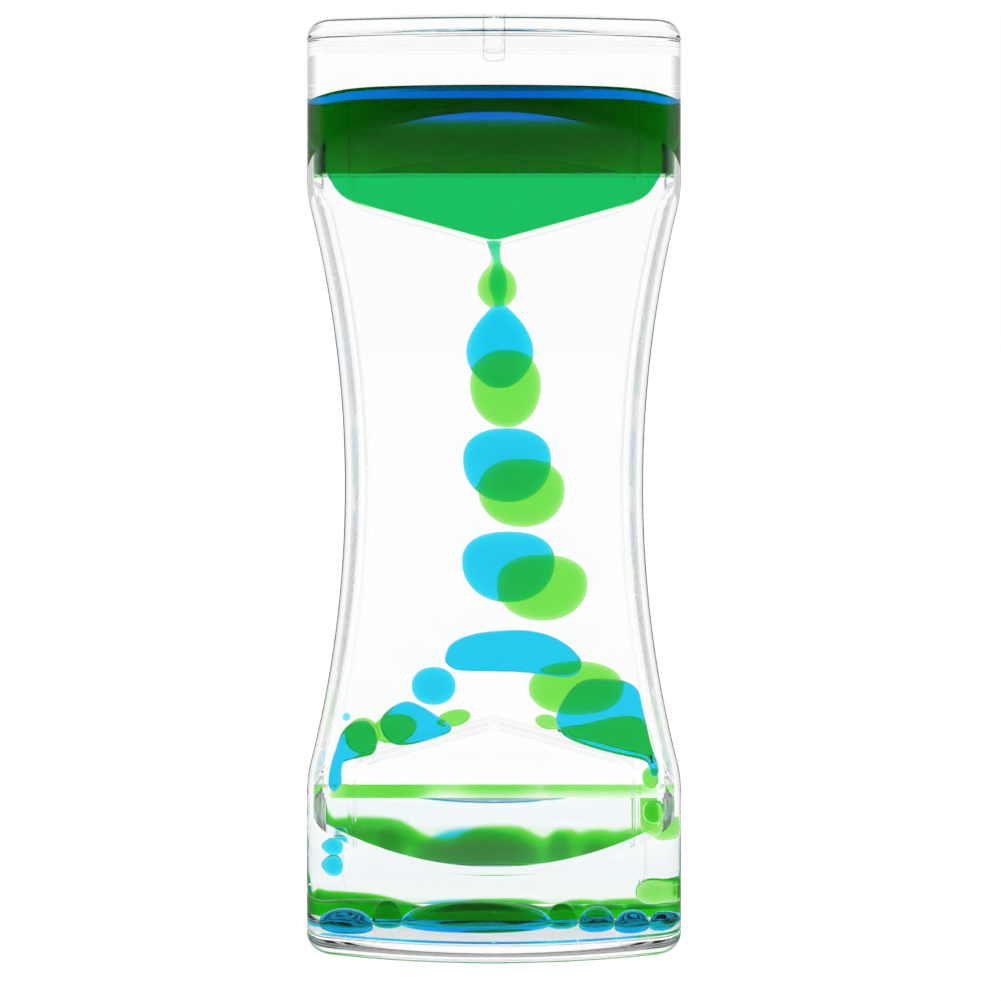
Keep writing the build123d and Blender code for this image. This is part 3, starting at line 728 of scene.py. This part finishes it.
for node, shape in ovalShapes.items():
    low, high = nodeBox(node)
    grid = flatDrop(ovalOutline(low, high, *shape), low[1], high[1], ovalLook["rim"], ovalLook["bulge"])
    water, slotName = waterOf(node)
    drop = makePiece(pieceName(node), [closedGrid(grid)], water)
    place(drop, node if node in movingDrops else "timer", slotName, node)
print("drops made")


# funnels, divider and plugs keep their CAD meshes

for node in ("upper_front_funnel", "upper_rear_funnel", "lower_front_funnel", "lower_rear_funnel", "divider"):
    nodes[node].data.materials.clear()
    nodes[node].data.materials.append(insertClear)
for node in ("front_filler_plug", "rear_filler_plug"):
    nodes[node].data.materials.clear()
    nodes[node].data.materials.append(plugClear)


# coloured liquid still in the upper end

reservoirLook = {
    "film": 0.06,
    # side of the pocket from the orifice up to the throat: height, half width
    "pocket": [(109.35, 0.9), (112.0, 10.4), (114.4, 19.0), (115.2, 21.6), (115.9, 23.0), (117.0, 24.1),
               (118.4, 25.0), (119.68, 25.7)],
    "pocketRows": 40,
    "chamberRows": (14, 8),  # below and above the contact with the case
    "lidRows": 9,
    "endRows": 3,
    "lift": 0.02,  # between the pocket and the chamber
    "level": {"blue_reservoir": 132.2, "yellow_reservoir": 131.3},
    "dip": 1.6,  # how far the surface bends down at the sides
    "dipPower": 8,
    "lidPower": 6,
    "crease": 40,
}
channelMiddle = (channelShape["face"] + channelShape["dividerFace"]) / 2


def upperLiquid(level, side):
    # a V-shaped pocket in the channel, then the whole end chamber from the throat up to a bent surface
    look = reservoirLook
    film, across = look["film"], acrossFront[None, :]
    throat = height - channelShape["throatHeight"]
    edgeLine = catmullRom(look["pocket"], look["pocketRows"], False)
    pocketZ = edgeLine[:, :1]
    pocketHalf = np.minimum(edgeLine[:, 1:], channelHalf(pocketZ, film))
    pocketX = across * pocketHalf
    pocketY = np.full_like(pocketX, channelShape["face"] - film)
    pocket = toDivider(pocketX, pocketY, pocketZ + 0 * across, film, side)
    contact = height - endContact(acrossFront, film)
    surface = level - look["dip"] * np.abs(across) ** look["dipPower"]
    lowRows, highRows = look["chamberRows"]
    lowZ = spread(throat + look["lift"] + 0 * contact, contact, lowRows)
    chamberZ = np.concatenate([lowZ, spread(contact, surface, highRows), surface])
    chamberX = across * channelHalf(chamberZ, film)
    chamber = toDivider(chamberX, channelDepth(chamberX, chamberZ, film), chamberZ, film, side)
    share = np.linspace(1, 0, look["lidRows"])[1:, None, None]
    centre = np.array([0, side * channelShape["face"], level])
    shares = np.concatenate([share, share, share ** look["lidPower"]], axis=-1)
    lid = centre + (chamber[-1][None] - centre) * shares
    rows, middle = look["endRows"], (0, side * channelMiddle)
    foot, top = toCentre(pocket[0], rows, middle), toCentre(pocket[-1], rows, middle)
    chamberFoot = toCentre(chamber[0], rows, middle)
    return np.concatenate([foot[::-1], pocket, top]), np.concatenate([chamberFoot[::-1], chamber, lid])


# hanging drops: rings down a thread, each with its own width, depth and centre

hangingShapes = {
    # node: (height, half width, centre) from the orifice down
    "blue_pendant_drop": [
        (109.1, 1.15, 0.0), (107.9, 0.85, 0.1), (106.0, 0.62, 0.5), (104.7, 0.95, 0.6), (103.5, 1.3, 0.6),
        (101.9, 1.38, 0.6), (100.7, 1.05, 0.7), (99.7, 0.75, 0.8), (98.9, 1.2, 0.85), (97.6, 2.5, 0.9),
        (96.0, 3.75, 0.9), (94.1, 4.75, 0.9), (92.3, 5.15, 0.9), (90.5, 4.95, 0.9), (88.8, 4.1, 0.9),
        (87.3, 2.65, 0.9), (86.6, 1.4, 0.9), (86.4, 0.05, 0.9),
    ],
    "yellow_pendant_drop": [
        (109.1, 0.9, 0.1), (107.4, 0.7, 0.1), (106.2, 0.75, 0.2), (105.3, 1.3, 0.4), (104.1, 2.4, 0.5),
        (102.6, 3.0, 0.5), (101.0, 2.95, 0.5), (99.7, 2.1, 0.5), (98.9, 1.1, 0.5), (98.65, 0.05, 0.5),
    ],
}
hangingLook = {
    "halfDepth": 2.02,
    "flatness": 3.0,
    "blend": 4,  # how suddenly the depth stops growing with the width
    "thinnest": 0.02,
    "points": 64,
    "rows": 120,
    "endRows": (4, 2),
}


def hangingDrop(profile, middle):
    # super-elliptic rings, round where thin and flattened where wider than the channel
    look = hangingLook
    path = catmullRom(profile, look["rows"], False)
    z, half, centre = path[:, :1], np.maximum(path[:, 1:2], look["thinnest"]), path[:, 2:]
    thick = half / (1 + (half / look["halfDepth"]) ** look["blend"]) ** (1 / look["blend"])
    flat = np.clip(half / look["halfDepth"] - 1, 0, 1) * (look["flatness"] - 2) + 2
    angle = np.linspace(0, 2 * np.pi, look["points"], endpoint=False)[None, :]
    c, s = np.cos(angle), np.sin(angle)
    x = centre + half * np.sign(c) * np.abs(c) ** (2 / flat)
    y = middle + thick * np.sign(s) * np.abs(s) ** (2 / flat)
    grid = np.stack([x, y, z + 0 * x], axis=-1)
    topRows, footRows = look["endRows"]
    top = toCentre(grid[0], topRows, (centre[0, 0], middle))
    foot = toCentre(grid[-1], footRows, (centre[-1, 0], middle))
    return np.concatenate([top[::-1], grid, foot])


# liquid landing or lying on the lower roofs

roofShapes = {
    # node: outlines as (x, z), round drops as (x, z, half width, half height, tilt)
    "blue_drop_4": {
        "outlines": [[
            (-7.5, 44.9), (-6.5, 46.9), (-3.3, 48.3), (0.8, 48.85), (4.9, 48.9), (8.6, 48.1), (11.6, 46.4),
            (13.4, 44.2), (12.8, 42.4), (10.6, 41.8), (5.7, 42.4), (0.8, 42.7), (-5.2, 42.8), (-7.2, 43.8),
        ]],
        "rounds": [],
    },
    "blue_left_runoff": {
        "outlines": [[
            (-17.4, 35.2), (-15.6, 37.1), (-13.4, 37.9), (-11.2, 37.2), (-8.8, 35.7), (-6.9, 34.4),
            (-6.7, 33.4), (-9.0, 32.4), (-12.8, 31.4), (-15.4, 31.5), (-17.0, 33.0),
        ]],
        "rounds": [],
    },
    "blue_wall_runoff": {
        "outlines": [[
            (-23.2, 33.4), (-21.4, 34.8), (-19.2, 34.7), (-18.0, 32.6), (-18.4, 30.1), (-20.9, 29.3),
            (-23.0, 28.6), (-23.4, 26.9), (-23.4, 25.4), (-24.4, 24.2), (-25.4, 25.2), (-25.3, 27.5),
            (-24.4, 30.6),
        ]],
        "rounds": [(-22.7, 35.6, 0.6, 0.6, 0)],
    },
    "blue_right_runoff": {
        "outlines": [[
            (9.8, 36.4), (11.8, 39.7), (14.0, 41.2), (17.3, 41.4), (20.3, 41.0), (22.2, 39.6), (22.9, 37.0),
            (24.2, 31.4), (25.3, 28.0), (25.0, 26.6), (24.0, 26.8), (23.2, 28.8), (19.2, 29.8), (14.8, 31.0),
            (11.1, 32.5), (9.7, 34.4),
        ]],
        "rounds": [],
    },
    "yellow_left_runoff": {
        "outlines": [],
        "rounds": [(-20.5, 31.8, 2.7, 2.7, 8), (-15.5, 32.9, 3.5, 2.2, 10), (-6.3, 34.5, 2.7, 1.25, 12)],
    },
    "yellow_right_runoff": {
        "outlines": [[
            (9.9, 32.9), (13.8, 33.5), (19.0, 34.7), (22.5, 34.6), (23.6, 33.0), (24.6, 29.3), (24.6, 27.6),
            (23.5, 28.7), (19.4, 29.8), (14.9, 31.0), (11.2, 32.0),
        ]],
        "rounds": [(8.4, 33.9, 2.0, 1.1, -12), (24.4, 25.2, 1.3, 1.6, 0)],
    },
}
roofLook = {
    "rim": 0.35,
    "bulge": 0.1,
    "halfDepth": 2.02,
    "curvePoints": 480,
    "levels": 61,
    "tipClear": 2.2,  # rims that the spine keeps clear of each tip
    "roundPoints": 48,
    "roundRim": 0.9,  # shares of a round drop's smaller half size
    "roundDepth": 1.4,
    "crease": 50,
}


def roundOutline(x, z, halfWide, halfTall, tilt):
    # tilted ellipse
    angle = np.linspace(0, 2 * np.pi, roofLook["roundPoints"], endpoint=False)
    c, s = np.cos(np.radians(tilt)), np.sin(np.radians(tilt))
    px, pz = halfWide * np.cos(angle), halfTall * np.sin(angle)
    return np.stack([x + px * c - pz * s, z + px * s + pz * c], axis=1)


def levelOutline(points):
    # the curve through the points, cut at the same heights on both sides
    # and its spine, half way between the sides
    curve = catmullRom(points, roofLook["curvePoints"], True)
    curve = np.roll(curve, -np.argmax(curve[:, 1]), axis=0)
    foot = np.argmin(curve[:, 1])
    down, up = curve[: foot + 1], np.concatenate([curve[foot:], curve[:1]])
    share = (1 - np.cos(np.linspace(0, np.pi, roofLook["levels"]))) / 2
    z = curve[foot, 1] + (curve[0, 1] - curve[foot, 1]) * share
    sides = [np.interp(z, down[::-1, 1], down[::-1, 0]), np.interp(z, up[:, 1], up[:, 0])]
    one, other = (np.stack([x, z], axis=1) for x in sides)
    # the spine keeps clear of the rounded rim at both tips
    tip = roofLook["tipClear"] * roofLook["rim"]
    spineZ = np.clip(z, z[0] + tip, z[-1] - tip)
    spineLine = np.stack([np.interp(spineZ, z, (sides[0] + sides[1]) / 2), spineZ], axis=1)
    return np.concatenate([one[::-1], other[1:-1]]), np.concatenate([spineLine[::-1], spineLine[1:-1]])


def roofDrops(shape, side):
    # every outline as a flat drop in the middle of its channel
    look, middle = roofLook, side * channelMiddle
    low, high = middle - look["halfDepth"], middle + look["halfDepth"]
    grids = []
    for points in shape["outlines"]:
        outline, spine = levelOutline(points)
        grids.append(flatDrop(outline, low, high, look["rim"], look["bulge"], spine))
    for drop in shape["rounds"]:
        small = min(drop[2:4])
        rim = min(look["rim"], look["roundRim"] * small)
        thick = min(look["halfDepth"], look["roundDepth"] * small)
        outline = roundOutline(*drop)
        grids.append(flatDrop(outline, middle - thick, middle + thick, rim, look["bulge"] * rim))
    return grids


# drops sinking in the ducts: (x, z, half width, half height), squashed balls

ductShapes = {
    "blue_duct_drops": [(-23.8, 15.7, 1.4, 1.3), (-23.8, 12.8, 1.4, 1.6)],
    "yellow_duct_drops": [(25.0, 17.6, 1.9, 1.9), (23.4, 7.8, 2.7, 2.0)],
}
ductLook = {"middle": 2.55, "halfDepth": 1.55, "squareness": 2.3, "rows": 25, "points": 48}


def softBall(x, z, halfWide, halfTall, side):
    # super-ellipsoid on a latitude and longitude grid
    look = ductLook
    rise = np.linspace(-np.pi / 2, np.pi / 2, look["rows"])[:, None]
    c, s = superCircle(look["points"], look["squareness"])
    ring = np.cos(rise) ** (2 / look["squareness"])
    lift = np.sign(np.sin(rise)) * np.abs(np.sin(rise)) ** (2 / look["squareness"])
    y = side * look["middle"] + look["halfDepth"] * ring * s
    return np.stack([x + halfWide * ring * c, y, z + halfTall * lift + 0 * c], axis=-1)


# settled drops: (left, right, distance from the divider, breadth, height)

domeShapes = [
    (-26.2, -18.0, 8.2, 8.6, 3.3),
    (-18.1, -13.4, 5.0, 4.6, 4.2),
    (-13.8, 8.6, 6.0, 9.4, 4.3),
    (7.6, 12.4, 4.8, 4.8, 3.8),
    (12.5, 17.9, 6.6, 7.2, 3.5),
    (17.9, 23.3, 7.6, 8.0, 3.0),
    (23.2, 27.0, 6.6, 7.0, 2.5),
]
domeLook = {"foot": 0.22, "base": 3.9, "squareness": 2.35, "fullness": 0.9, "rows": 33, "points": 64}


def dome(left, right, back, breadth, tall):
    # a drop lying on the floor: super-ellipse seen from above, widest a little over its foot
    look = domeLook
    rise = np.linspace(-np.pi / 2, np.pi / 2, look["rows"])[:, None]
    c, s = superCircle(look["points"], look["squareness"])
    ring = np.cos(rise) ** look["fullness"]
    foot = look["foot"]
    lift = foot + np.where(rise < 0, foot, 1 - foot) * np.sin(rise)
    x = (left + right) / 2 + (right - left) / 2 * ring * c
    return np.stack([x, -back + breadth / 2 * ring * s, look["base"] + tall * lift + 0 * x], axis=-1)


poolShape = {
    "half": (27.0, 5.95),
    "middle": 7.05,
    "base": 3.9,
    "tall": 1.3,
    "film": 0.03,  # left on the floor behind the layer
    "edge": 5.8,  # where the layer thins out, except on the left
    "leftEdge": 9.0,
    "leftPart": -13.0,
    "softness": 0.35,  # of that edge
    "squareness": 4.0,
    "rim": 0.12,  # share of the height left at the outer rim
    "rimPower": 8,
    "bumpPower": 4,
    "rows": 60,
    "points": 240,
    "crease": 50,
    # bumps: x, y, half width, half breadth, extra height
    "bumps": [(-19.3, 4.6, 8.0, 3.4, 0.9), (0.6, 4.2, 5.6, 2.6, 0.9), (10.5, 4.0, 2.2, 2.4, 0.6),
              (15.4, 4.0, 2.6, 2.4, 0.5), (20.9, 4.0, 2.8, 2.4, 0.5), (25.0, 4.0, 2.0, 2.4, 0.3)],
}


def pool():
    # a wide layer with a round edge and soft bumps where drops have joined it, over a flat foot
    p = poolShape
    reach = np.sin(np.linspace(0, np.pi / 2, p["rows"]))[:, None]
    c, s = superCircle(p["points"], p["squareness"])
    x, y = p["half"][0] * reach * c, p["middle"] + p["half"][1] * reach * s
    edge = np.sqrt(1 - reach ** p["rimPower"])
    behind = p["edge"] + (p["leftEdge"] - p["edge"]) / (1 + np.exp(x - p["leftPart"]))
    lift = p["film"] + (p["tall"] - p["film"]) / (1 + np.exp((y - behind) / p["softness"]))
    for bumpX, bumpY, wide, broad, extra in p["bumps"]:
        away = ((x - bumpX) / wide) ** p["bumpPower"] + ((y - bumpY) / broad) ** p["bumpPower"]
        lift = lift + extra * np.exp(-away)
    top = np.stack([x, y, p["base"] + lift * (p["rim"] + (1 - p["rim"]) * edge)], axis=-1)
    foot = np.stack([x, y, np.full_like(x, p["base"])], axis=-1)
    return np.concatenate([top, foot[::-1]])


roundCrease = 60  # of the drops without an edge


def liquid(node, grids, crease, look=None):
    water, slotName = waterOf(node)
    piece = makePiece(pieceName(node), [closedGrid(grid) for grid in grids], look or water, crease)
    return place(piece, "timer", slotName, node)


for node, level in reservoirLook["level"].items():
    parts = [closedGrid(grid) for grid in upperLiquid(level, sideOf(node))]
    water = [pocketBlue, deepBlue] if node.startswith("blue") else [pocketYellow, deepYellow]
    partFaces = np.repeat([0, 1], [len(quads) for points, quads in parts])
    reservoir = makePiece(pieceName(node), parts, water, reservoirLook["crease"], partFaces)
    place(reservoir, "timer", waterOf(node)[1], node)
for node, profile in hangingShapes.items():
    liquid(node, [hangingDrop(profile, channelMiddle * sideOf(node))], roundCrease)
for node, shape in roofShapes.items():
    liquid(node, roofDrops(shape, sideOf(node)), roofLook["crease"])
for node, balls in ductShapes.items():
    liquid(node, [softBall(*ball, sideOf(node)) for ball in balls], roundCrease)
liquid("blue_settled_drops", [dome(*shape) for shape in domeShapes], roundCrease, settledWater)
liquid("yellow_settled_drops", [pool()], poolShape["crease"], settledLayer)
print("liquids made")


# floor, light and camera

floorLook = {
    "size": 6.0,
    "innerRing": 0.05,
    "points": (12, 64),  # rings, and points on each
    "innerRows": 3,
    "colour": (0.93, 0.93, 0.93),
    "grainColour": (0.95, 0.95, 0.95),
    "grainScale": 30,
    "roughness": 0.9,
    "below": 0.0001,
    "nearEnd": 0.045,  # seen through the glass, the floor turns white from here
    "farStart": 0.075,  # to here
    "mirrored": 0.3,  # "mirrored": 0.3, # brightness of the painted reflection: the floor's dim glow in reflections
}


def makeFloor():
    # a wide plate on a polar grid, flat, a hair under the case
    rings, around = floorLook["points"]
    turn = np.linspace(0, 2 * np.pi, around, endpoint=False)[None, :]
    reach = np.geomspace(floorLook["innerRing"], floorLook["size"], rings)[:, None]
    x, y = reach * np.cos(turn), reach * np.sin(turn)
    grid = np.stack([x, y, np.full_like(x, -floorLook["below"])], axis=-1) / mm
    inner = toCentre(grid[0], floorLook["innerRows"])[::-1]
    rows = np.concatenate([inner, grid])
    points, quads = rows.reshape(-1, 3), gridQuads(len(rows), rows.shape[1])
    a, b, c = points[quads[-1, :3]]
    if np.cross(b - a, c - a)[2] < 0:
        quads = quads[:, ::-1]
    material = bpy.data.materials.new("paleFloor")
    material.use_nodes = True
    tree = material.node_tree
    tree.nodes.clear()
    add, link = tree.nodes.new, tree.links.new
    out = add("ShaderNodeOutputMaterial")
    body = add("ShaderNodeBsdfPrincipled")
    body.inputs["Roughness"].default_value = floorLook["roughness"]
    body.inputs["Specular IOR Level"].default_value = 0.0
    grain = add("ShaderNodeTexNoise")
    grain.inputs["Scale"].default_value = floorLook["grainScale"]
    coord = add("ShaderNodeTexCoord")
    shade = add("ShaderNodeMixRGB")
    shade.inputs[1].default_value = (*floorLook["colour"], 1)
    shade.inputs[2].default_value = (*floorLook["grainColour"], 1)
    link(coord.outputs["Object"], grain.inputs["Vector"])
    link(grain.outputs["Fac"], shade.inputs[0])
    link(shade.outputs[0], body.inputs["Base Color"])
    split = add("ShaderNodeSeparateXYZ")
    link(coord.outputs["Object"], split.inputs[0])
    away = add("ShaderNodeMapRange")  # 0 near the base, 1 well behind it
    away.inputs["From Min"].default_value = floorLook["nearEnd"]
    away.inputs["From Max"].default_value = floorLook["farStart"]
    link(split.outputs["Y"], away.inputs["Value"])
    path = add("ShaderNodeLightPath")
    far = add("ShaderNodeMath")
    far.operation = "MULTIPLY"
    link(path.outputs["Is Transmission Ray"], far.inputs[0])
    link(away.outputs[0], far.inputs[1])
    bright = add("ShaderNodeEmission")
    through = add("ShaderNodeMixShader")
    link(far.outputs[0], through.inputs[0])
    link(body.outputs[0], through.inputs[1])
    link(bright.outputs[0], through.inputs[2])
    # painted reflection: glossy rays that never went through glass see the floor as a dim glow instead of lit
    paintedReflectionGlow = add("ShaderNodeEmission")
    paintedReflectionGlow.inputs["Strength"].default_value = floorLook["mirrored"]
    mirrored = add("ShaderNodeMath")  # glossy rays, without those that went through glass
    mirrored.operation = "SUBTRACT"
    mirrored.use_clamp = True
    link(path.outputs["Is Glossy Ray"], mirrored.inputs[0])
    link(path.outputs["Is Transmission Ray"], mirrored.inputs[1])
    mix = add("ShaderNodeMixShader")
    link(mirrored.outputs[0], mix.inputs[0])
    link(through.outputs[0], mix.inputs[1])
    link(paintedReflectionGlow.outputs[0], mix.inputs[2])
    link(mix.outputs[0], out.inputs["Surface"])
    return makePiece("floor", [(points, quads)], material)


makeFloor()

worldLook = {
    "ambient": 0.005,
    "flag": 0.62,  # grey of the flags
    "flagStops": (0.38, 0.6, 0.88, 0.97),  # sideways: white ends, grey from, grey to, white again
    "frontRange": (-0.3, -0.7),  # where the camera's side begins and is full
    "front": 0.08,
    "frontThrough": 0.7,
}


def makeWorld():
    # white for the camera and through the glass, with grey flags to both sides that draw the edges
    world = bpy.data.worlds.new("studio")
    bpy.context.scene.world = world
    world.use_nodes = True
    tree = world.node_tree
    tree.nodes.clear()
    add, link = tree.nodes.new, tree.links.new
    out = add("ShaderNodeOutputWorld")
    coord = add("ShaderNodeTexCoord")
    split = add("ShaderNodeSeparateXYZ")
    link(coord.outputs["Generated"], split.inputs[0])
    side = add("ShaderNodeMath")
    side.operation = "ABSOLUTE"
    link(split.outputs["X"], side.inputs[0])
    ramp = add("ShaderNodeValToRGB")
    stops = ramp.color_ramp.elements
    white, grey = (1, 1, 1, 1), (*[worldLook["flag"]] * 3, 1)
    whiteEnd, greyStart, greyEnd, whiteStart = worldLook["flagStops"]
    stops[0].position, stops[0].color = whiteEnd, white
    stops[1].position, stops[1].color = greyStart, grey
    stops.new(greyEnd).color = grey
    stops.new(whiteStart).color = white
    link(side.outputs[0], ramp.inputs["Fac"])
    towards = add("ShaderNodeMapRange")  # 0 behind the object, 1 on the camera's side
    frontStart, frontFull = worldLook["frontRange"]
    towards.inputs["From Min"].default_value = frontStart
    towards.inputs["From Max"].default_value = frontFull
    link(split.outputs["Y"], towards.inputs["Value"])
    dim = add("ShaderNodeMixRGB")
    path = add("ShaderNodeLightPath")
    dark = add("ShaderNodeMapRange")
    dark.inputs["To Min"].default_value = worldLook["front"]
    dark.inputs["To Max"].default_value = worldLook["frontThrough"]
    link(path.outputs["Is Transmission Ray"], dark.inputs["Value"])
    link(dark.outputs[0], dim.inputs[2])
    link(towards.outputs[0], dim.inputs[0])
    link(ramp.outputs["Color"], dim.inputs[1])
    flagged = add("ShaderNodeBackground")
    link(dim.outputs[0], flagged.inputs["Color"])
    plain = add("ShaderNodeBackground")
    plain.inputs["Color"].default_value = white
    soft = add("ShaderNodeBackground")
    soft.inputs["Color"].default_value = white
    soft.inputs["Strength"].default_value = worldLook["ambient"]
    seen = add("ShaderNodeMath")
    seen.operation = "MAXIMUM"
    link(path.outputs["Is Transmission Ray"], seen.inputs[0])
    link(path.outputs["Is Glossy Ray"], seen.inputs[1])
    through = add("ShaderNodeMixShader")
    link(seen.outputs[0], through.inputs[0])
    link(soft.outputs[0], through.inputs[1])
    link(flagged.outputs[0], through.inputs[2])
    straight = add("ShaderNodeMixShader")
    link(path.outputs["Is Camera Ray"], straight.inputs[0])
    link(through.outputs[0], straight.inputs[1])
    link(plain.outputs[0], straight.inputs[2])
    link(straight.outputs[0], out.inputs["Surface"])


makeWorld()

lampLook = {
    # a soft light overhead and a softbox beside the camera: strength, spread and tilt in degrees
    "softSky": (0.025, 50, (18, 12, 0)),
    "frontSoftbox": (15.0, 0.7, (76.7, 0, 0)),
}
for name, (strength, lampSpread, tilt) in lampLook.items():
    lamp = bpy.data.lights.new(name, "SUN")
    lamp.energy = strength
    lamp.angle = np.radians(lampSpread)
    holder = bpy.data.objects.new(name, lamp)
    holder.rotation_euler = [np.radians(v) for v in tilt]
    bpy.context.scene.collection.objects.link(holder)

cameraLook = {
    "distance": 0.300,
    "height": 0.096,
    "sensor": 36,
    "scale": 6.364,  # pixels per millimetre at the object
    "horizonRow": 326,
    "middleColumn": 494,
    "pixels": 1001,
}
pixels = cameraLook["pixels"]
cameraData = bpy.data.cameras.new("camera")
cameraData.sensor_width = cameraLook["sensor"]
cameraData.lens = cameraLook["scale"] * cameraLook["distance"] / mm * cameraLook["sensor"] / pixels
cameraData.shift_x = (pixels / 2 - cameraLook["middleColumn"]) / pixels
cameraData.shift_y = (cameraLook["horizonRow"] - pixels / 2) / pixels
cameraData.clip_start = 0.01
camera = bpy.data.objects.new("camera", cameraData)
camera.location = (0, -cameraLook["distance"], cameraLook["height"])
camera.rotation_euler = (np.pi / 2, 0, 0)
bpy.context.scene.collection.objects.link(camera)
scene = bpy.context.scene
scene.camera = camera
scene.view_settings.view_transform = "Standard"
scene.cycles.max_bounces = 48
scene.cycles.transmission_bounces = 48
scene.cycles.glossy_bounces = 8
scene.cycles.transparent_max_bounces = 64
scene.cycles.caustics_refractive = False
print("floor, light and camera ready")
